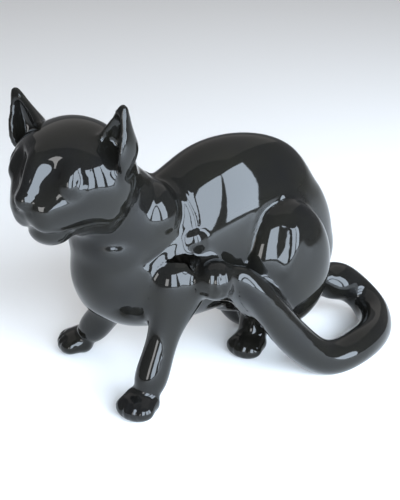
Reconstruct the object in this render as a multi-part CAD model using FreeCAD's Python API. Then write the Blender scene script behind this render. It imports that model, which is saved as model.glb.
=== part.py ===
"""Hollow glazed ceramic cat, seated with one hind foot raised to its elbow.

Every named piece is one slip casting.  The castings are trimmed to meet face
to face and are luted together with slip before the firing.  Lengths are in
millimetres: the cat looks along -X, its left side faces -Y and +Z is up.
"""
import FreeCAD, Part
import functools
import math
import os

Vec = FreeCAD.Vector
UP = Vec(0, 0, 1)
SIDEWAYS = Vec(0, 1, 0)

# ---- castings in general -------------------------------------------------
wall = 5.0                  # fired wall of the hollow castings
sole_grind = 1.0            # how much is ground off what stands on the table
airway_radius = 4.0         # airways between hollows, and the belly vent
cap_lead = math.radians(20.0)    # a rounded end already tapers this much where it starts
cap_turns = (37.0, 53.0, 68.0, 82.0)

# ---- torso ---------------------------------------------------------------
body_length = 178.0         # breast station to rump station
breast_x = -85.0            # breast station, ahead of the middle of the cat
back_height = 191.0         # top of the arched back
withers_dip = 22.0          # how far the back dips behind the neck
belly_clearance = 48.0      # underside of the belly over the table
chest_width = 80.0
waist_width = 82.0
hip_width = 78.0
breast_bulge = 24.0         # how far the breast swells ahead of its station
rump_bulge = 30.0
rump_clearance = 14.0

# ---- head and neck -------------------------------------------------------
head_width = 97.0
head_height = 90.0
head_length = 84.0          # nape to nose
head_rise = 17.0            # middle of the head over the withers
head_reach = 20.0           # middle of the head ahead of the breast station
head_turn = 23.0            # degrees, towards the left side
neck_radius = 34.0
head_roll = 3.0             # degrees, left ear up
ear_height = 51.0           # root to tip
ear_width = 32.0
ear_depth = 22.0            # swell of the ear's back behind its opening
ear_lip = 3.0               # roundness of its front edge
ear_edge = 4.5              # thickness round the opening
ear_hollow = 11.0           # depth of the opening
ear_spread = 69.0           # between the roots
ear_rise = 10.5             # roots over the middle of the head
ear_reach = 8.0             # roots ahead of the middle of the head
ear_splay = 20.0            # degrees outwards
ear_rake = 6.0              # degrees backwards
ear_turn = 15.0             # degrees, openings towards each other

# ---- legs ----------------------------------------------------------------
shoulder_height = 104.0
foreleg_radius = 10.5
stance = 114.0              # between the forepaws, side to side
left_paw_reach = 3.0        # forepaws, measured from the breast station
right_paw_reach = 1.0
paw_length = 34.0
paw_width = 32.0
paw_height = 18.0

# ---- hind quarters -------------------------------------------------------
haunch_length = 86.0
haunch_height = 112.0
haunch_depth = 56.0
haunch_back = 35.0          # middle of the left haunch ahead of the rump station
left_haunch_height = 88.0
raised_foot_height = 105.0
raised_foot_radius = 16.0
hind_paw_place = 40.0       # right hind paw ahead of the left haunch's middle

# ---- tail ----------------------------------------------------------------
tail_radius = 14.5
tail_tip_radius = 10.5
tail_root_height = 43.0
tail_loop_reach = 38.0      # back edge of the loop's middle line behind the rump
tail_loop_width = 71.0      # sideways swing of the loop's middle line

rump_x = breast_x + body_length
withers_height = back_height - withers_dip
rump_end = rump_x + rump_bulge
head_place = Vec(breast_x - head_reach, -5.0, withers_height + head_rise)
left_haunch_place = Vec(rump_x - haunch_back, -34.0, left_haunch_height)
right_haunch_place = Vec(rump_x - haunch_back + 14.0, 28.0, haunch_height / 2 - sole_grind)
left_paw = Vec(breast_x + left_paw_reach, 8.0 - stance / 2, 0)
right_paw = Vec(breast_x + right_paw_reach, 8.0 + stance / 2, 0)
left_elbow = Vec(breast_x + 52.0, -45.0, shoulder_height + 8.0)
raised_paw = Vec(left_elbow.x + 11.0, left_elbow.y - 12.0, raised_foot_height)
right_hind_paw = Vec(left_haunch_place.x - hind_paw_place + 21.0, -13.0, 0)


def unit(vector):
    """Copy of a vector, one millimetre long."""
    copy = Vec(vector)
    copy.normalize()
    return copy


def between(start, end, share):
    return start + (end - start) * share


def ring(centre, along, side, half_side, half_top, half_bottom):
    """Smooth closed outline square to `along`; its top and bottom may differ."""
    across = unit(side - along * side.dot(along))
    upward = along.cross(across)
    count = 12
    points = []
    knots = [float(step) for step in range(count + 1)]
    for step in range(count):
        angle = 2.0 * math.pi * step / count
        rise = half_top if math.sin(angle) > 0 else half_bottom
        points.append(centre + across * (half_side * math.cos(angle)) + upward * (rise * math.sin(angle)))
    curve = Part.BSplineCurve()
    curve.interpolate(Points=points, PeriodicFlag=True, Parameters=knots)
    return Part.Wire([curve.toShape()])


def cap_rings(base, length):
    """Rings of a rounded end that reaches `length` beyond its base ring."""
    centre, along, half_side, half_top, half_bottom = base
    rings = []
    for turn in cap_turns:
        angle = math.radians(turn)
        scale = math.cos(angle) / math.cos(cap_lead)
        reach = length * (math.sin(angle) - math.sin(cap_lead)) / (1.0 - math.sin(cap_lead))
        rings.append((centre + along * reach, along,
                      half_side * scale, half_top * scale, half_bottom * scale))
    return rings


def form(stations, side, shrink=0.0, first_cap=0.0, last_cap=0.0):
    """Loft through stations (centre, half side, half top, half bottom).

    shrink gives the inner face of a hollow casting.  A cap length rounds that
    end off by as much; with none the end is cut square.
    """
    last = len(stations) - 1
    rings = []
    for index, (centre, half_side, half_top, half_bottom) in enumerate(stations):
        before = stations[max(index - 1, 0)][0]
        after = stations[min(index + 1, last)][0]
        rings.append((centre, unit(after - before),
                      half_side - shrink, half_top - shrink, half_bottom - shrink))
    if first_cap > 0.0:
        rings = cap_rings(rings[0], shrink - first_cap)[::-1] + rings
    if last_cap > 0.0:
        rings = rings + cap_rings(rings[-1], last_cap - shrink)
    wires = [ring(centre, along, side, a, b, c) for centre, along, a, b, c in rings]
    return Part.makeLoft(wires, True, False)


def round_stations(points):
    """Stations of a round limb from (centre, radius) pairs."""
    return [(centre, radius, radius, radius) for centre, radius in points]


def table():
    """Everything below the table's top."""
    size = 1000.0
    return Part.makeBox(size, size, size, Vec(-size / 2, -size / 2, -size))


def largest(shape):
    """The one solid that is left when trimming has freed slivers."""
    return max(shape.Solids, key=lambda solid: solid.Volume)


# ---- torso and neck --------------------------------------------------------

@functools.cache
def torso_form(shrink):
    """Trunk from the breast, over the arched back, to the rump."""
    rows = [
        (0.00, withers_height - 13, belly_clearance + 16, chest_width / 2 - 6),
        (0.16, withers_height - 1, belly_clearance + 2, chest_width / 2 - 1),
        (0.32, withers_height + 2, belly_clearance - 1, chest_width / 2),
        (0.50, back_height - 3, belly_clearance, waist_width / 2),
        (0.67, back_height, belly_clearance - 6, hip_width / 2),
        (0.84, back_height - 22, rump_clearance + 12, hip_width / 2 - 5),
        (1.00, back_height - 67, rump_clearance, hip_width / 2 - 13),
    ]
    stations = []
    for share, top, bottom, half_width in rows:
        middle = bottom + 0.46 * (top - bottom)
        centre = Vec(breast_x + share * body_length, 0, middle)
        stations.append((centre, half_width, top - middle, middle - bottom))
    return form(stations, SIDEWAYS, shrink, breast_bulge, rump_bulge)


@functools.cache
def neck_form(shrink):
    """Neck from inside the trunk to inside the head."""
    base = Vec(breast_x + 36.0, 0, withers_height - 42.0)
    points = [
        (base, neck_radius + 4),
        (between(base, head_place, 0.36), neck_radius + 1),
        (between(base, head_place, 0.68), neck_radius),
        (between(base, head_place, 0.90), neck_radius - 1),
    ]
    return form(round_stations(points), SIDEWAYS, shrink)


@functools.cache
def trunk_form():
    return torso_form(0.0).fuse(neck_form(0.0))


def torso():
    """Hollow trunk with its neck, open towards the head, legs and tail."""
    hollow = torso_form(wall).fuse(neck_form(wall))
    vent = Part.makeCylinder(airway_radius, 60.0, Vec(breast_x + 70.0, 0, belly_clearance - 30.0), UP)
    return largest(trunk_form().cut(head_form(0.0)).cut(hollow).cut(vent).cut(haunch_airway()))


# ---- head ------------------------------------------------------------------

def head_axes():
    """Forward and left directions of the turned head."""
    turn = math.radians(head_turn)
    return Vec(-math.cos(turn), -math.sin(turn), 0), Vec(math.sin(turn), -math.cos(turn), 0)


@functools.cache
def head_form(shrink):
    """Round skull running out into a short blunt muzzle."""
    forward, left = head_axes()
    half_width = head_width / 2
    half_height = head_height / 2
    rows = [
        (-0.36, 0.0, 0.66, 0.64, 0.60),
        (-0.18, 0.0, 0.92, 0.87, 0.86),
        (0.04, 0.0, 1.00, 0.92, 0.98),
        (0.22, -2.0, 0.90, 0.81, 0.96),
        (0.38, -10.0, 0.66, 0.60, 0.80),
        (0.49, -16.0, 0.46, 0.44, 0.60),
    ]
    stations = []
    for reach, drop, width, top, bottom in rows:
        centre = head_place + forward * (reach * head_length) + UP * drop
        stations.append((centre, half_width * width, half_height * top, half_height * bottom))
    return form(stations, left, shrink, 10.0, 9.0)


def head():
    """Hollow head, open at the neck."""
    return largest(head_form(0.0).cut(head_form(wall)).cut(neck_form(wall)))


def ear_axes(hand):
    """Root, direction up the ear and direction of its opening."""
    forward, left = head_axes()
    roll = math.radians(hand * head_roll)
    splay = math.radians(ear_splay) - roll
    turn = math.radians(ear_turn)
    half_spread = ear_spread / 2
    root = head_place + left * (hand * half_spread) + forward * ear_reach
    root = root + UP * (ear_rise + half_spread * math.sin(roll))
    lean = unit(left * (hand * math.tan(splay)) + UP - forward * math.tan(math.radians(ear_rake)))
    opening = forward * math.cos(turn) - left * (hand * math.sin(turn))
    return root, lean, opening


def ear_loft(hand, levels, edge, front, swell):
    """Solid up an ear from (level, size, set-back) rows; edge is how far within its rim."""
    root, lean, opening = ear_axes(hand)
    stations = []
    for level, size, back in levels:
        centre = root + lean * (level * ear_height) - opening * back
        depth = swell * size - back
        stations.append((centre, ear_width / 2 * size - edge, depth, front * size))
    return form(stations, UP.cross(opening))


def ear(hand):
    """Pointed ear, hollow in front; hand is 1 for the left ear, -1 for the right."""
    outside = [(-0.12, 0.80, 9.0), (0.12, 0.98, 4.0), (0.35, 0.96, 0.0),
               (0.57, 0.74, 0.0), (0.79, 0.43, 0.0), (1.00, 0.14, 0.0)]
    inside = [(0.02, 0.90, 6.0), (0.20, 0.94, 2.0), (0.40, 0.86, 0.0), (0.62, 0.64, 0.0), (0.81, 0.42, 0.0)]
    blank = ear_loft(hand, outside, 0.0, ear_lip, ear_depth)
    hollow = ear_loft(hand, inside, ear_edge, ear_lip + 5.0, ear_hollow)
    return largest(blank.cut(hollow).cut(head_form(0.0)))


# ---- legs --------------------------------------------------------------------

def paw(place, heading):
    """Blunt paw, flat underneath."""
    across = UP.cross(heading)
    rows = [(-0.24, 0.44, 0.60), (0.00, 0.48, 0.54), (0.24, 0.50, 0.45)]
    stations = []
    for reach, width, rise in rows:
        centre = place + heading * (reach * paw_length) + UP * (paw_height * rise)
        stations.append((centre, paw_width * width, paw_height * rise, paw_height * rise + sole_grind))
    return form(stations, across, 0.0, paw_length * 0.22, paw_length * 0.24)


def left_foreleg_stations():
    shoulder = Vec(breast_x + 49.0, -34.0, shoulder_height)
    wrist = left_paw + Vec(10, 3, paw_height)
    return [
        (shoulder, 20.0, 25.0, 25.0),
        (between(shoulder, wrist, 0.33), foreleg_radius + 5, foreleg_radius + 8, foreleg_radius + 8),
        (between(shoulder, wrist, 0.68), foreleg_radius + 1, foreleg_radius + 2, foreleg_radius + 2),
        (wrist, foreleg_radius, foreleg_radius, foreleg_radius + 1),
    ]


def right_foreleg_stations():
    shoulder = Vec(breast_x + 30.0, 20.0, shoulder_height - 30.0)
    wrist = right_paw + Vec(10, -8, paw_height)
    return [
        (shoulder, 21.0, 24.0, 24.0),
        (between(shoulder, wrist, 0.48), foreleg_radius + 3, foreleg_radius + 5, foreleg_radius + 5),
        (wrist, foreleg_radius, foreleg_radius, foreleg_radius + 1),
    ]


def foreleg(stations, place, heading):
    limb = form(stations, SIDEWAYS, 0.0, 16.0, 8.0)
    solid = limb.fuse(paw(place, heading)).cut(table())
    return largest(solid.cut(trunk_form()))


def left_foreleg():
    return foreleg(left_foreleg_stations(), left_paw, unit(Vec(-0.85, -0.5, 0)))


def right_foreleg():
    return foreleg(right_foreleg_stations(), right_paw, unit(Vec(-0.9, 0.3, 0)))


# ---- hind quarters -------------------------------------------------------------

def haunch_form(place, shrink):
    """Plump thigh, flatter towards the trunk."""
    stations = []
    for turn in (-81, -66, -48, -25, 0, 25, 48, 66, 81):
        size = math.cos(math.radians(turn))
        centre = place + UP * ((haunch_height / 2 - shrink) * math.sin(math.radians(turn)))
        half_depth = (haunch_depth / 2 - shrink) * size
        half_length = (haunch_length / 2 - shrink) * size
        stations.append((centre, half_depth, half_length, half_length))
    return form(stations, SIDEWAYS)


def haunch_airway():
    """One bore through both haunches' inner sides and the trunk."""
    start = Vec(left_haunch_place.x, left_haunch_place.y, 0.5 * (left_haunch_height + right_haunch_place.z))
    reach = right_haunch_place.y - left_haunch_place.y
    return Part.makeCylinder(airway_radius, reach, start, SIDEWAYS)


def left_haunch():
    place = left_haunch_place
    solid = haunch_form(place, 0.0).cut(trunk_form())
    return largest(solid.cut(haunch_form(place, wall)).cut(haunch_airway()))


def right_haunch():
    place = right_haunch_place
    solid = haunch_form(place, 0.0).cut(trunk_form()).cut(table())
    return largest(solid.cut(haunch_form(place, wall)).cut(haunch_airway()))


def raised_foot_form():
    """Long hind foot from the thigh to the elbow."""
    heel = left_haunch_place + Vec(-26, -12, -24)
    points = [
        (heel, raised_foot_radius - 2),
        (between(heel, raised_paw, 0.4), raised_foot_radius - 4),
        (between(heel, raised_paw, 0.72), raised_foot_radius - 4),
        (raised_paw, raised_foot_radius),
    ]
    return form(round_stations(points), SIDEWAYS, 0.0, 9.0, 13.0)


def left_hind_foot():
    solid = raised_foot_form()
    neighbours = [trunk_form(), haunch_form(left_haunch_place, 0.0), tail_form(),
                  form(left_foreleg_stations(), SIDEWAYS, 0.0, 16.0, 8.0)]
    for neighbour in neighbours:
        solid = solid.cut(neighbour)
    return largest(solid)


def right_hind_foot():
    """Hind foot on the table, its hock under the belly."""
    hock = right_hind_paw + Vec(30, 26, 48)
    ankle = right_hind_paw + Vec(7, 3, paw_height - 3)
    points = [
        (hock, 21.0),
        (between(hock, ankle, 0.5), 16.0),
        (ankle, foreleg_radius + 1),
    ]
    limb = form(round_stations(points), SIDEWAYS, 0.0, 12.0, 8.0)
    solid = limb.fuse(paw(right_hind_paw, unit(Vec(-0.9, -0.45, 0)))).cut(table())
    for neighbour in (trunk_form(), haunch_form(right_haunch_place, 0.0), haunch_form(left_haunch_place, 0.0)):
        solid = solid.cut(neighbour)
    return largest(solid)


# ---- tail ------------------------------------------------------------------------

@functools.cache
def tail_form():
    """Tail from the rump, looped on the table, up to its tip on the raised foot."""
    resting = tail_radius - sole_grind
    back = rump_end + tail_loop_reach
    swing = -tail_loop_width
    turn = Vec(rump_end - 43.0, swing, resting)
    tip = raised_paw + Vec(15, -2, 1)
    points = [
        (Vec(rump_end - 18.0, 2, tail_root_height + 4), tail_radius + 3),
        (Vec(rump_end + 6.0, 0, tail_root_height - 2), tail_radius + 1),
        (Vec(back - 8.0, -5, resting + 17), tail_radius + 0.5),
        (Vec(back, 0.27 * swing, resting + 5), tail_radius),
        (Vec(back - 7.0, 0.55 * swing, resting), tail_radius),
        (Vec(back - 25.0, 0.81 * swing, resting), tail_radius),
        (Vec(back - 50.0, 0.97 * swing, resting), tail_radius),
        (turn, tail_radius),
        (between(turn, tip, 0.28) + Vec(0, 0, -9), tail_radius),
        (between(turn, tip, 0.50) + Vec(0, 0, -6), tail_radius - 0.5),
        (between(turn, tip, 0.70) + Vec(0, 0, 0), tail_radius - 1.5),
        (between(turn, tip, 0.85) + Vec(0, 0, 3), tail_tip_radius + 1.0),
        (between(turn, tip, 0.95) + Vec(0, 0, 3), tail_tip_radius - 2.0),
        (between(turn, tip, 1.03) + Vec(0, 0, 1), 0.4 * tail_tip_radius),
    ]
    return form(round_stations(points), UP)


def tail():
    solid = tail_form().cut(table()).cut(trunk_form())
    solid = solid.cut(haunch_form(left_haunch_place, 0.0)).cut(haunch_form(right_haunch_place, 0.0))
    return largest(solid)


def main():
    """Build every casting, stand the cat on the origin and write the files."""
    castings = {
        "torso": torso(),
        "head": head(),
        "left_ear": ear(1),
        "right_ear": ear(-1),
        "left_foreleg": left_foreleg(),
        "right_foreleg": right_foreleg(),
        "left_haunch": left_haunch(),
        "right_haunch": right_haunch(),
        "left_hind_foot": left_hind_foot(),
        "right_hind_foot": right_hind_foot(),
        "tail": tail(),
    }
    box = Part.makeCompound(list(castings.values())).optimalBoundingBox(False, False)
    under_middle = Vec(-box.Center.x, -box.Center.y, 0)
    os.makedirs("parts", exist_ok=True)
    for name, casting in castings.items():
        casting.translate(under_middle)
        casting.exportStep("parts/" + name + ".step")
        print(name, "volume cm3", round(casting.Volume / 1000.0, 1))


main()
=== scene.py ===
"""Sculpts and glazes the ceramic cat around its packed castings.

The castings are joined, their luted seams are fettled smooth, and the face,
shoulder, thigh and paws are carved in the one continuous skin.  The skin
is then parted again along the seams, so that every casting is its own piece.
"""
import math

import bmesh
import bpy
import numpy as np
from bpy.props import FloatProperty, FloatVectorProperty, IntProperty, PointerProperty
from mathutils import Matrix, Vector
from mathutils.bvhtree import BVHTree


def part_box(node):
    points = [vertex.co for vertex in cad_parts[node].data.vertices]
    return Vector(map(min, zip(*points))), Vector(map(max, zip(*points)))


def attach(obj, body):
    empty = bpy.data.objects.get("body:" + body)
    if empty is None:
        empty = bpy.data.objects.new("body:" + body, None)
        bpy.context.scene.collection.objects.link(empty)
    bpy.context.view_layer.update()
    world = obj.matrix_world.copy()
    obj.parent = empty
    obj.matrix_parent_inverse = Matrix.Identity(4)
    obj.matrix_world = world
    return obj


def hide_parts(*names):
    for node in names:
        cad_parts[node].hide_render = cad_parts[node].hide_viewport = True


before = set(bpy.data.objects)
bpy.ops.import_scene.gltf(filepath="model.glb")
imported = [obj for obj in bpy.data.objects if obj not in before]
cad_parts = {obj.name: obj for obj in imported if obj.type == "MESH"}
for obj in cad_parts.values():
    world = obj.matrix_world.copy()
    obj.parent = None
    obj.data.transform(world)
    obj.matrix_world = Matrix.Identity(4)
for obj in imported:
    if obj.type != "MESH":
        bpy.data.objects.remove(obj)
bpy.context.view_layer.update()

bl_info = {
    "name": "Glazed ceramic cat",
    "version": (1, 0, 0),
    "blender": (4, 5, 0),
    "location": "View3D > Sidebar > Ceramic cat",
    "description": "Sculpts and glazes a slip-cast cat around its packed castings",
    "category": "Object",
}

MM = 0.001
BODY = "root"
CASTINGS = ["torso", "head", "left_ear", "right_ear", "left_foreleg", "right_foreleg", "left_haunch",
            "right_haunch", "left_hind_foot", "right_hind_foot", "tail"]


def linear_from_hex(code):
    """Linear colour of an sRGB hex value such as #0A0A0C."""
    channels = [int(code[place:place + 2], 16) / 255.0 for place in (1, 3, 5)]
    return tuple(c / 12.92 if c <= 0.04045 else ((c + 0.055) / 1.055) ** 2.4 for c in channels)


# ---- places on the cat ------------------------------------------------------

def middle(node):
    """Middle of a casting's box, in millimetres."""
    low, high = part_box(node)
    return (np.array(low) + np.array(high)) / 2.0 / MM


def corner(node, which):
    """Lowest (0) or highest (1) corner of a casting's box, in millimetres."""
    return np.array(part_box(node)[which]) / MM


# The carved features are placed from one mark: the trunk's box in plan, and the table.
TRUNK_FRONT = 112.3     # the mark behind the front of the trunk
TRUNK = np.array([corner("torso", 0)[0] + TRUNK_FRONT, middle("torso")[1], 0.0])


def unit(*direction):
    """The same direction with a length of one."""
    direction = np.array(direction, float)
    return direction / np.linalg.norm(direction)


def spot(x, y, z):
    """A place in millimetres, measured from the trunk's own mark."""
    return TRUNK + np.array([x, y, z], float)


HEAD_TURN = math.radians(23.0)      # towards the left side
HEAD_MIDDLE = spot(-105.0, -5.0, 186.0)
FORWARD = np.array([-math.cos(HEAD_TURN), -math.sin(HEAD_TURN), 0.0])
LEFT = np.array([math.sin(HEAD_TURN), -math.cos(HEAD_TURN), 0.0])
UP = np.array([0.0, 0.0, 1.0])


def face(forward, left, up):
    """A place in millimetres, measured from the middle of the turned head."""
    return HEAD_MIDDLE + FORWARD * forward + LEFT * left + UP * up


# ---- settings ---------------------------------------------------------------

class CatSculptSettings(bpy.types.PropertyGroup):
    clay_grain: FloatProperty(name="Clay grain", default=2.0, min=1.0, max=4.0,
                              description="Edge length while the castings are joined, in millimetres")
    grain: FloatProperty(name="Skin grain", default=1.3, min=0.8, max=4.0,
                         description="Edge length of the carved skin, in millimetres")
    settle_steps: IntProperty(name="Settling", default=4,
                              description="Strokes over the joined clay before the seams are fettled")
    seam_width: FloatProperty(name="Seam blend", default=11.0, min=1.0,
                              description="Reach of the fettling round a luted seam, in millimetres")
    seam_steps: IntProperty(name="Seam strokes", default=24,
                            description="Strokes of fettling over the seams")
    throat_reach: FloatProperty(name="Throat blend", default=30.0, min=1.0,
                                description="Reach of the smoothing round the throat, in millimetres")
    polish_steps: IntProperty(name="Polish", default=4,
                              description="Strokes of polishing over the whole skin")


class CatGlazeSettings(bpy.types.PropertyGroup):
    glaze: FloatVectorProperty(name="Glaze", description="Colour of the black glaze", subtype="COLOR",
                               size=3, default=linear_from_hex("#0B0B0D"))
    glaze_thin: FloatVectorProperty(name="Thin glaze", description="Colour where the glaze has run thin",
                                    subtype="COLOR", size=3, default=linear_from_hex("#15140F"))
    roughness: FloatProperty(name="Roughness", description="Roughness of the fired gloss",
                             default=0.045, min=0.0, max=1.0, subtype="FACTOR")
    lustre: FloatProperty(name="Lustre", default=0.32,
                          description="Strength of the glaze's mirror reflection, chosen by eye")
    index: FloatProperty(name="IOR", default=1.45,
                         description="Index of refraction of the glaze, chosen by eye")
    drift: FloatProperty(name="Drift", default=28.0,
                         description="Patches of thin glaze across a metre of the cat")


class CatStudioSettings(bpy.types.PropertyGroup):
    floor: FloatVectorProperty(name="Floor", description="Colour of the pale floor", subtype="COLOR",
                               size=3, default=linear_from_hex("#F4F3F1"))
    distance: FloatProperty(name="Camera distance", description="Camera to the cat", default=0.8,
                            unit="LENGTH")
    azimuth: FloatProperty(name="Camera azimuth", default=math.radians(-30.0), subtype="ANGLE",
                           description="Turn of the camera round the cat")
    elevation: FloatProperty(name="Camera elevation", default=math.radians(25.0), subtype="ANGLE",
                             description="Height of the camera as an angle")


# ---- sculpting tools ---------------------------------------------------------

PRESS = 0.5         # share of the way to its neighbours that a stroke moves a point
SWELL = 0.53        # share that the same stroke gives back, so that the form doesn't shrink
NARROW = 1.8        # half the width of a line cut with the narrow tool, in millimetres


class Skin:
    """The joined skin as arrays: points in millimetres, with the tools that shape them."""

    def __init__(self, mesh):
        count = len(mesh.vertices)
        self.points = np.empty(count * 3)
        mesh.vertices.foreach_get("co", self.points)
        self.points = self.points.reshape(-1, 3) / MM
        self.edges = np.empty(len(mesh.edges) * 2, np.int64)
        mesh.edges.foreach_get("vertices", self.edges)
        self.edges = self.edges.reshape(-1, 2)
        self.mesh = mesh
        ends = np.concatenate([self.edges[:, 0], self.edges[:, 1]])
        self.neighbours = np.maximum(np.bincount(ends, minlength=count), 1)

    def spread(self, values):
        """Mean of each point's neighbours, for an array of one value or vector per point."""
        flat = values.reshape(len(self.points), -1)
        total = np.empty_like(flat)
        first, second = self.edges[:, 0], self.edges[:, 1]
        for column in range(flat.shape[1]):
            data = flat[:, column]
            total[:, column] = (np.bincount(first, data[second], len(data))
                                + np.bincount(second, data[first], len(data)))
        return (total / self.neighbours[:, None]).reshape(values.shape)

    def relax(self, steps, weight=1.0, keep_volume=True):
        """Smooth the skin; weight is one number or one per point."""
        weight = np.broadcast_to(np.asarray(weight, float), len(self.points))[:, None]
        for _ in range(steps):
            self.points += PRESS * weight * (self.spread(self.points) - self.points)
            if keep_volume:
                self.points -= SWELL * weight * (self.spread(self.points) - self.points)

    def write(self):
        """Put the points back into the mesh."""
        self.mesh.vertices.foreach_set("co", (self.points * MM).ravel())
        self.mesh.update()

    def normals(self):
        """Outward direction at each point of the skin as it is now."""
        self.write()
        out = np.empty(len(self.points) * 3)
        self.mesh.vertex_normals.foreach_get("vector", out)
        return out.reshape(-1, 3)

    @staticmethod
    def distance(points, path):
        """Distance of points from a run of straight lines through path."""
        best = np.full(len(points), np.inf)
        for start, end in zip(path[:-1], path[1:]):
            line = end - start
            share = np.clip((points - start) @ line / max(line @ line, 1e-9), 0.0, 1.0)
            gap = np.linalg.norm(points - start - share[:, None] * line, axis=1)
            best = np.minimum(best, gap)
        return best

    def brush(self, path, radius, height, along=None, sharp=2.0):
        """Raise (or with a negative height sink) the skin along a path, in millimetres."""
        path = np.array(path, float)
        if len(path) == 1:
            path = np.repeat(path, 2, axis=0)
        margin = 3.0 * radius       # the stroke has faded to nothing there
        inside = np.all((self.points > path.min(0) - margin) & (self.points < path.max(0) + margin), axis=1)
        near = np.nonzero(inside)[0]
        reach = self.distance(self.points[near], path) / radius
        amount = height * np.exp(-reach ** sharp)
        direction = self.normals()[near] if along is None else np.broadcast_to(along, (len(near), 3))
        self.points[near] += amount[:, None] * direction


def curve(*places):
    """Smooth run of places through a few chosen ones (Catmull-Rom)."""
    places = [np.asarray(place, float) for place in places]
    places = [2 * places[0] - places[1]] + places + [2 * places[-1] - places[-2]]
    run = []
    for a, b, c, d in zip(places[:-3], places[1:-2], places[2:-1], places[3:]):
        for t in np.linspace(0.0, 1.0, 6, endpoint=False):
            run.append(0.5 * (2 * b + (c - a) * t + (2 * a - 5 * b + 4 * c - d) * t ** 2
                              + (3 * b - a - 3 * c + d) * t ** 3))
    run.append(places[-2])
    return run


def lump(mesh, centre, radii, aim=(1.0, 0.0, 0.0)):
    """Add an egg of clay: its first radius lies along aim."""
    turn = Vector(aim).to_track_quat("X", "Z").to_matrix().to_4x4()
    size = Matrix.Diagonal(Vector([r * MM for r in radii] + [1.0]))
    place = Matrix.Translation(Vector(centre) * MM)
    bmesh.ops.create_uvsphere(mesh, u_segments=48, v_segments=32, radius=1.0, matrix=place @ turn @ size)


# ---- the joined skin -----------------------------------------------------------

def remesh(skin, context, grain):
    """Replace the skin by one even net of faces; grain is its edge length in millimetres."""
    net = skin.modifiers.new("one skin", "REMESH")
    net.mode = "VOXEL"
    net.voxel_size = grain * MM
    whole = bpy.data.meshes.new_from_object(skin.evaluated_get(context.evaluated_depsgraph_get()))
    skin.modifiers.clear()
    skin.data = whole


class CAT_OT_join_castings(bpy.types.Operator):
    """Join the castings into one skin and fettle the luted seams"""
    bl_idname = "cat.join_castings"
    bl_label = "Join castings"

    def execute(self, context):
        settings = context.scene.cat_sculpt
        clay = bmesh.new()
        self.add_clay(clay)
        for name in CASTINGS:
            clay.from_mesh(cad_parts[name].data)
        bmesh.ops.remove_doubles(clay, verts=clay.verts, dist=1e-6)
        mesh = bpy.data.meshes.new("cat_skin")
        clay.to_mesh(mesh)
        clay.free()
        skin = bpy.data.objects.new("cat_skin", mesh)
        context.collection.objects.link(skin)
        remesh(skin, context, settings.clay_grain)
        self.fettle(skin, settings)
        remesh(skin, context, settings.grain)
        work = Skin(skin.data)
        work.relax(settings.polish_steps)
        work.write()
        return {"FINISHED"}

    @staticmethod
    def add_clay(clay):
        """Plug the belly vent, opened again later, and build up the muscle masses."""
        vent_plug = spot(-15.0, 0.0, 51.0)
        lump(clay, vent_plug, (7.0, 7.0, 4.0))
        for side in (-1.0, 1.0):
            shoulder_blade = spot(-53.0, side * 12.0, 146.0)
            lump(clay, shoulder_blade, (27.0, 26.0, 28.0))
            muzzle_pad = face(37.0, side * 8.0, -16.0)
            lump(clay, muzzle_pad, (13.0, 12.0, 14.0), FORWARD)
        elbow = spot(-25.0, -35.0, 126.0)
        lump(clay, elbow, (10.5, 7.0, 10.5))
        throat = spot(-80.0, 0.0, 129.0)
        lump(clay, throat, (29.0, 37.0, 26.0))
        upper_arm = spot(-48.0, -27.0, 121.0)
        lump(clay, upper_arm, (24.0, 13.0, 13.0), (0.9, -0.1, 0.3))
        chin = face(27.0, 0.0, -30.0)
        lump(clay, chin, (17.0, 17.0, 14.0), FORWARD)

    @staticmethod
    def fettle(skin, settings):
        """Smooth the seams between castings until they can't be seen."""
        work = Skin(skin.data)
        label = nearest_casting(work.points)
        first, second = work.edges[:, 0], work.edges[:, 1]
        crossing = label[first] != label[second]
        reach = np.full(len(work.points), np.inf)
        reach[first[crossing]] = 0.0
        reach[second[crossing]] = 0.0
        for _ in range(int(2 * settings.seam_width / settings.clay_grain)):
            for a, b in ((first, second), (second, first)):
                np.minimum.at(reach, a, reach[b] + settings.clay_grain)
        near = np.exp(-(reach / settings.seam_width) ** 2)
        for kind, share in (("ear", 0.1), ("haunch", 0.5)):
            numbers = [number for number, name in enumerate(CASTINGS) if kind in name]
            near[np.isin(label, numbers)] *= share
        throat = [spot(-80.0, -32.0, 131.0), spot(-104.0, 0.0, 124.0)]
        throat_gap = work.distance(work.points, throat)
        near = np.maximum(near, np.exp(-(throat_gap / settings.throat_reach) ** 4))
        work.relax(settings.settle_steps)
        work.relax(settings.seam_steps, near, keep_volume=False)
        work.write()


SEARCH_MARGIN = 6.0     # how far outside a casting's box its skin may lie, in millimetres


def nearest_casting(points):
    """Number of the casting whose outside is nearest to each point."""
    best = np.full(len(points), np.inf)
    label = np.zeros(len(points), int)
    for number, name in enumerate(CASTINGS):
        low, high = (np.array(c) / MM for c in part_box(name))
        inside = np.all((points > low - SEARCH_MARGIN) & (points < high + SEARCH_MARGIN), axis=1)
        tree = BVHTree.FromObject(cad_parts[name], bpy.context.evaluated_depsgraph_get())
        for index in np.nonzero(inside)[0]:
            gap = tree.find_nearest(Vector(points[index]) * MM)[3] / MM
            if gap < best[index]:
                best[index] = gap
                label[index] = number
    return label


# ---- carving -------------------------------------------------------------------

def oval(centre, out, half_wide, half_tall, start, end):
    """Places on an upright oval that faces out, between two angles in degrees."""
    tall = unit(*(UP - out * out[2]))
    wide = np.cross(tall, out)
    turns = np.radians(np.linspace(start, end, 24))
    return [centre + wide * (half_wide * math.cos(t)) + tall * (half_tall * math.sin(t)) for t in turns]


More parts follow.
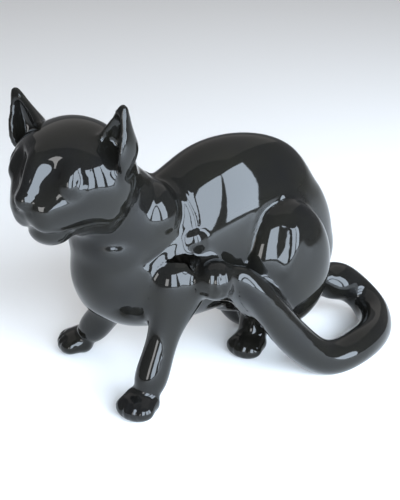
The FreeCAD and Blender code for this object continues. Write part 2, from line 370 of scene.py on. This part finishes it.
class CAT_OT_carve_face(bpy.types.Operator):
    """Model the eyes, nose, muzzle, mouth and jaw"""
    bl_idname = "cat.carve_face"
    bl_label = "Carve face"

    def execute(self, context):
        work = Skin(bpy.data.objects["cat_skin"].data)
        for hand in (1.0, -1.0):
            self.socket(work, hand)
        self.nose(work)
        self.mouth(work)
        for hand in (1.0, -1.0):
            self.eye(work, hand)
        self.jaw(work)
        work.write()
        return {"FINISHED"}

    @staticmethod
    def socket(work, hand):
        """Hollow between the nose and the brow."""
        hollow = [face(42.0, hand * 17.0, 20.0), face(46.0, hand * 13.0, 6.0)]
        work.brush(hollow, radius=9.0, height=-4.0)

    @staticmethod
    def eye(work, hand):
        """Bulging upright eyeball in its lids."""
        ball = face(35.5, hand * 27.3, 13.0)
        out = unit(*(FORWARD * 0.76 + LEFT * (hand * 0.56) + UP * 0.30))
        tall = unit(*(UP - out * out[2]))
        core = [ball + tall * 4.5, ball - tall * 4.5]
        work.brush(core, radius=11.0, height=-5.5)
        work.brush(core, radius=7.6, height=7.6, sharp=3.5)
        groove = oval(ball, out, 8.6, 13.0, 0.0, 360.0)
        work.brush(groove, NARROW, height=-1.6)
        upper_lid = oval(ball, out, 12.0, 17.0, 20.0, 200.0)
        work.brush(upper_lid, radius=2.6, height=2.8)
        lower_lid = oval(ball, out, 10.5, 15.5, 210.0, 340.0)
        work.brush(lower_lid, radius=2.2, height=1.6)

    @staticmethod
    def nose(work):
        """Bridge, tip, nostrils and the fold under the nose."""
        bridge = curve(face(40.0, 0.0, 28.0), face(46.0, 0.0, 14.0), face(52.0, 0.0, 0.0))
        work.brush(bridge, radius=6.0, height=2.4)
        tip = face(53.0, 0.0, -4.0)
        work.brush([tip], radius=6.0, height=2.6, sharp=2.5)
        for hand in (1.0, -1.0):
            nostril = [face(54.0, hand * 5.0, -7.0), face(51.0, hand * 7.5, -6.0)]
            work.brush(nostril, radius=1.9, height=-1.8)
        fold = curve(face(53.0, 7.0, -11.0), face(56.0, 0.0, -12.5), face(53.0, -7.0, -11.0))
        work.brush(fold, NARROW, height=-1.2)

    @staticmethod
    def mouth(work):
        """Cheeks of the muzzle and the line of the closed mouth."""
        for hand in (1.0, -1.0):
            cheek = face(46.0, hand * 10.0, -17.0)
            work.brush([cheek], radius=9.0, height=1.4, sharp=2.5)
            lips = curve(face(48.0, 0.0, -26.0), face(44.0, hand * 7.0, -29.0),
                         face(38.0, hand * 14.0, -30.0), face(30.0, hand * 20.0, -28.5))
            work.brush(lips, NARROW, height=-1.1)
        cleft = [face(56.0, 0.0, -11.0), face(51.0, 0.0, -25.0)]
        work.brush(cleft, radius=2.0, height=-0.9)

    @staticmethod
    def jaw(work):
        """Crease round the jaw, between head and neck."""
        crease = curve(spot(-106, -22, 147), spot(-96, -31, 146), spot(-87, -35, 149),
                       spot(-81, -38, 160), spot(-77, -38, 168))
        work.brush(crease, radius=2.4, height=-0.6)


TOE_GAPS = (-6.5, 0.0, 6.5)     # the gaps between four toes, from the paw's middle, in millimetres


class CAT_OT_carve_body(bpy.types.Operator):
    """Model the shoulder, elbow, thigh and paws"""
    bl_idname = "cat.carve_body"
    bl_label = "Carve body"

    def execute(self, context):
        work = Skin(bpy.data.objects["cat_skin"].data)
        self.shoulder(work)
        self.throat(work)
        self.rump(work)
        self.thigh(work)
        left_forepaw, right_forepaw, right_hind_paw = spot(-82, -49, 0), spot(-84, 65, 0), spot(39, -13, 0)
        self.toes(work, left_forepaw, unit(-0.86, -0.51, 0.0))
        self.toes(work, right_forepaw, unit(-0.95, 0.32, 0.0))
        self.toes(work, right_hind_paw, unit(-0.89, -0.45, 0.0))
        self.raised_toes(work)
        self.vent(work)
        work.write()
        return {"FINISHED"}

    @staticmethod
    def shoulder(work):
        """Rear edge of the shoulder blade, the fold of the upper arm and the rim of the elbow."""
        edge = curve(spot(-34, -7, 170), spot(-30, -15, 169), spot(-27, -22, 163),
                     spot(-25, -28, 156), spot(-23, -32, 147), spot(-23, -35, 139))
        work.brush(edge, radius=2.4, height=-0.8)
        fold = curve(spot(-66, -37, 119), spot(-46, -38, 130), spot(-31, -37, 138))
        work.brush(fold, radius=3.0, height=-0.8)
        rim = oval(spot(-24, -41, 126), unit(-0.2, -1.0, 0.15), 12.5, 12.5, 0.0, 360.0)
        work.brush(rim, NARROW, height=-0.3)

    @staticmethod
    def throat(work):
        """Take down the fullness where the near shoulder meets the throat."""
        work.brush([spot(-82.0, -31.0, 132.0)], radius=11.0, height=-1.2)

    @staticmethod
    def rump(work):
        """Slope of the back from its arch down to the tail."""
        inward = unit(-0.85, 0.0, -0.5)
        for side in (-14.0, 14.0):
            slope = [spot(110.0, side, 142.0), spot(122.0, side, 100.0)]
            work.brush(slope, radius=34.0, height=6.0, along=inward)

    @staticmethod
    def thigh(work):
        """Ridge of the thigh muscle and the crease where the haunch meets the flank."""
        ridge = curve(spot(54, -55, 126), spot(50, -59, 112), spot(44, -62, 96))
        work.brush(ridge, radius=7.0, height=2.0)
        edge = curve(spot(18, -43, 104), spot(22, -43, 115), spot(28, -41, 129), spot(37, -38, 140),
                     spot(54, -36, 146))
        work.brush(edge, radius=2.6, height=-1.6)

    @staticmethod
    def toes(work, paw, heading):
        """Grooves between the four toes of a standing paw; heading is where the paw points."""
        across = np.cross(UP, heading)
        for side in TOE_GAPS:
            front = paw + heading * (17.5 - abs(side) * 0.3) + across * side
            groove = curve(front - heading * 5.0 + UP * 15.0, front + UP * 10.0, front + UP * 4.0)
            work.brush(groove, radius=1.7, height=-1.2)

    @staticmethod
    def raised_toes(work):
        """Grooves between the toes of the foot that touches the elbow."""
        for side in TOE_GAPS:
            groove = curve(spot(-26 + side * 0.8, -66 - side * 0.3, 116),
                           spot(-29 + side, -70 - side * 0.5, 107),
                           spot(-28 + side, -68 - side * 0.5, 97))
            work.brush(groove, NARROW, height=-1.0)

    @staticmethod
    def vent(work):
        """Open the firing vent under the belly again."""
        mouth = spot(-15.0, 0.0, 47.0)
        work.brush([mouth], radius=4.0, height=8.0, along=UP, sharp=6.0)


# ---- parting into pieces ------------------------------------------------------------

LABEL_STROKES = 8       # how often the castings' shares are blended to make a seam run smoothly


def face_labels(work):
    """Number of the casting that each face of the skin belongs to, with smooth seams."""
    count = len(work.points)
    votes = np.zeros((count, len(CASTINGS)))
    votes[np.arange(count), nearest_casting(work.points)] = 1.0
    for _ in range(LABEL_STROKES):
        votes = work.spread(votes)
    mesh = work.mesh
    corners = np.empty(len(mesh.loops), np.int64)
    starts = np.empty(len(mesh.polygons), np.int64)
    mesh.loops.foreach_get("vertex_index", corners)
    mesh.polygons.foreach_get("loop_start", starts)
    return np.add.reduceat(votes[corners], starts).argmax(axis=1)


def close_and_coat(piece, glaze):
    """Close a parted piece where it was luted on, and give its skin the shared smooth normals."""
    mesh = piece.data
    skin_faces = len(mesh.polygons)
    shell = bmesh.new()
    shell.from_mesh(mesh)
    rim = [edge for edge in shell.edges if edge.is_boundary]
    caps = bmesh.ops.holes_fill(shell, edges=rim, sides=0)["faces"]
    for cap in caps:
        corner_there = cap.loops[0]
        if corner_there.link_loop_radial_next.vert is corner_there.vert:
            cap.normal_flip()
    bmesh.ops.triangulate(shell, faces=caps)
    shell.to_mesh(mesh)
    shell.free()
    coat = np.empty(len(mesh.vertices) * 3)
    mesh.attributes["coat"].data.foreach_get("vector", coat)
    corners = np.empty(len(mesh.loops), np.int64)
    mesh.loops.foreach_get("vertex_index", corners)
    normals = coat.reshape(-1, 3)[corners]
    if len(mesh.polygons) > skin_faces:
        normals[mesh.polygons[skin_faces].loop_start:] = 0.0
    mesh.attributes.remove(mesh.attributes["coat"])
    mesh.polygons.foreach_set("use_smooth", [True] * len(mesh.polygons))
    mesh.normals_split_custom_set(normals.tolist())
    mesh.materials.clear()
    mesh.materials.append(glaze)


class CAT_OT_part_castings(bpy.types.Operator):
    """Part the finished skin along its seams into one closed piece for each casting"""
    bl_idname = "cat.part_castings"
    bl_label = "Part castings"

    def execute(self, context):
        skin = bpy.data.objects["cat_skin"]
        mesh = skin.data
        work = Skin(mesh)
        work.relax(1)
        normals = work.normals()
        normals = 0.5 * normals + 0.5 * work.spread(normals)
        normals /= np.linalg.norm(normals, axis=1)[:, None]
        coat = mesh.attributes.new("coat", "FLOAT_VECTOR", "POINT")
        coat.data.foreach_set("vector", normals.ravel())
        mesh.materials.clear()
        for name in CASTINGS:
            mesh.materials.append(bpy.data.materials.new("part_" + name))
        mesh.polygons.foreach_set("material_index", face_labels(work))
        bpy.ops.object.select_all(action="DESELECT")
        context.view_layer.objects.active = skin
        skin.select_set(True)
        bpy.ops.object.mode_set(mode="EDIT")
        bpy.ops.mesh.select_all(action="SELECT")
        bpy.ops.mesh.separate(type="MATERIAL")
        bpy.ops.object.mode_set(mode="OBJECT")
        glaze = glaze_material(context.scene.cat_glaze)
        for piece in list(context.selected_objects):
            mark = piece.data.materials[0]
            name = mark.name.removeprefix("part_")
            piece.name = "glazed_" + name
            close_and_coat(piece, glaze)
            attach(piece, BODY)
            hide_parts(name)
        for name in CASTINGS:
            bpy.data.materials.remove(bpy.data.materials["part_" + name])
        return {"FINISHED"}


# ---- materials -----------------------------------------------------------------------

def add_node(tree, kind, settings=None, links=None):
    """Add a shader node, set its inputs or properties and link its inputs."""
    node = tree.nodes.new(kind)
    for key, value in (settings or {}).items():
        if key in node.inputs:
            node.inputs[key].default_value = value
        else:
            setattr(node, key, value)
    for key, source in (links or {}).items():
        tree.links.new(source, node.inputs[key])
    return node


def glaze_material(settings):
    """Black gloss glaze, dipped and fired.

    The melt levels itself to a mirror, with a slightly browner black where it
    is thin.
    """
    material = bpy.data.materials.new("fired_black_glaze")
    material.use_nodes = True
    tree = material.node_tree
    tree.nodes.clear()
    place = add_node(tree, "ShaderNodeTexCoord")
    drift = add_node(tree, "ShaderNodeTexNoise", {"Scale": settings.drift, "Detail": 2.0},
                     {"Vector": place.outputs["Object"]})
    tone = add_node(tree, "ShaderNodeMix", {"data_type": "RGBA"}, {"Factor": drift.outputs["Fac"]})
    tone.inputs[6].default_value = (*settings.glaze, 1.0)
    tone.inputs[7].default_value = (*settings.glaze_thin, 1.0)
    shader = add_node(tree, "ShaderNodeBsdfPrincipled",
                      {"IOR": settings.index, "Specular IOR Level": settings.lustre,
                       "Roughness": settings.roughness},
                      {"Base Color": tone.outputs[2]})
    add_node(tree, "ShaderNodeOutputMaterial", {}, {"Surface": shader.outputs["BSDF"]})
    return material


MATT = 0.75     # roughness of the floor's paint


def floor_material(settings):
    """Matt pale paint on a studio floor."""
    material = bpy.data.materials.new("pale_floor")
    material.use_nodes = True
    shader = material.node_tree.nodes["Principled BSDF"]
    shader.inputs["Base Color"].default_value = (*settings.floor, 1.0)
    shader.inputs["Roughness"].default_value = MATT
    return material


# ---- stage ----------------------------------------------------------------------------

# Lengths in metres, powers in watts, turns in degrees from the cat's left side towards its tail.
HEART = Vector(spot(0.0, 0.0, 100.0)) * MM
FLOOR_HALF = 6.0
ROOM_COLOUR = (0.88, 0.90, 0.95, 1.0)
ROOM_STRENGTH = 0.3
DAYLIGHT = (0.74, 0.86, 1.0)
LAMPLIGHT = (1.0, 0.95, 0.90)
WINDOW_TURNS = {"window_far_left": -24.0, "window_left": 5.0, "window_right": 31.0}
WINDOW_AWAY = 1.15
WINDOW_RISE = 0.42
WINDOW_SIZE = (0.44, 1.0)
WINDOW_POWER = 25.0
SENSOR_WIDTH = 36.0     # in millimetres, like the lens
LENS = 90.0


def softbox(name, place, aim, size, power, colour=(1.0, 1.0, 1.0)):
    """Rectangular studio light at place, facing aim."""
    lamp = bpy.data.lights.new(name, "AREA")
    lamp.shape = "RECTANGLE"
    lamp.size, lamp.size_y = size
    lamp.energy = power
    lamp.color = colour
    holder = bpy.data.objects.new(name, lamp)
    holder.location = place
    holder.rotation_euler = (Vector(aim) - Vector(place)).to_track_quat("-Z", "Y").to_euler()
    bpy.context.collection.objects.link(holder)


class CAT_OT_stage(bpy.types.Operator):
    """Lay the floor, hang the lights and set up the camera"""
    bl_idname = "cat.stage"
    bl_label = "Stage"

    def execute(self, context):
        settings = context.scene.cat_studio
        self.lay_floor(context, settings)
        self.fill_room(context)
        self.hang_lights()
        self.place_camera(context, settings)
        return {"FINISHED"}

    @staticmethod
    def lay_floor(context, settings):
        plane = bmesh.new()
        bmesh.ops.create_grid(plane, x_segments=1, y_segments=1, size=FLOOR_HALF)
        mesh = bpy.data.meshes.new("floor")
        plane.to_mesh(mesh)
        plane.free()
        ground = bpy.data.objects.new("floor", mesh)
        mesh.materials.append(floor_material(settings))
        context.collection.objects.link(ground)

    @staticmethod
    def fill_room(context):
        """Even light of the room's walls, and the colours shown as they are."""
        world = bpy.data.worlds.new("studio")
        world.use_nodes = True
        background = world.node_tree.nodes["Background"]
        background.inputs["Color"].default_value = ROOM_COLOUR
        background.inputs["Strength"].default_value = ROOM_STRENGTH
        context.scene.world = world
        context.scene.view_settings.view_transform = "Standard"

    @staticmethod
    def hang_lights():
        """Tall window panels beside the cat, a small one in front of it and a wide one overhead."""
        aim = HEART + Vector((0, 0, 0.05))
        for name, turn in WINDOW_TURNS.items():
            angle = math.radians(turn)
            away = Vector((math.sin(angle), -math.cos(angle), 0.0))
            place = HEART + away * WINDOW_AWAY + Vector((0, 0, WINDOW_RISE))
            softbox(name, place, aim, WINDOW_SIZE, WINDOW_POWER, DAYLIGHT)
        softbox("side_window", HEART + Vector((-1.1, -0.85, 0.25)), HEART, size=(0.3, 0.5), power=5.0)
        softbox("ceiling", HEART + Vector((0.3, 0.6, 1.5)), HEART, size=(2.8, 2.8), power=11.0,
                colour=LAMPLIGHT)

    @staticmethod
    def place_camera(context, settings):
        camera = bpy.data.cameras.new("camera")
        camera.sensor_fit = "HORIZONTAL"
        camera.sensor_width = SENSOR_WIDTH
        camera.lens = LENS
        azimuth, elevation = settings.azimuth, settings.elevation
        back = Vector((math.sin(azimuth) * math.cos(elevation), -math.cos(azimuth) * math.cos(elevation),
                       math.sin(elevation)))
        viewer = bpy.data.objects.new("camera", camera)
        viewer.location = HEART + back * settings.distance
        viewer.rotation_euler = (-back).to_track_quat("-Z", "Y").to_euler()
        context.collection.objects.link(viewer)
        context.scene.camera = viewer


class CAT_PT_panel(bpy.types.Panel):
    """Steps of making the cat"""
    bl_idname = "CAT_PT_panel"
    bl_label = "Ceramic cat"
    bl_space_type = "VIEW_3D"
    bl_region_type = "UI"
    bl_category = "Ceramic cat"

    def draw(self, context):
        for step in STEPS:
            self.layout.operator(step.bl_idname)


STEPS = [CAT_OT_join_castings, CAT_OT_carve_face, CAT_OT_carve_body, CAT_OT_part_castings, CAT_OT_stage]
CLASSES = [CatSculptSettings, CatGlazeSettings, CatStudioSettings] + STEPS + [CAT_PT_panel]


def register():
    for item in CLASSES:
        bpy.utils.register_class(item)
    bpy.types.Scene.cat_sculpt = PointerProperty(type=CatSculptSettings)
    bpy.types.Scene.cat_glaze = PointerProperty(type=CatGlazeSettings)
    bpy.types.Scene.cat_studio = PointerProperty(type=CatStudioSettings)


def unregister():
    del bpy.types.Scene.cat_sculpt
    del bpy.types.Scene.cat_glaze
    del bpy.types.Scene.cat_studio
    for item in reversed(CLASSES):
        bpy.utils.unregister_class(item)


def main():
    """Make the cat step by step."""
    register()
    bpy.ops.cat.join_castings()
    bpy.ops.cat.carve_face()
    bpy.ops.cat.carve_body()
    bpy.ops.cat.part_castings()
    bpy.ops.cat.stage()


if __name__ == "__main__":
    main()
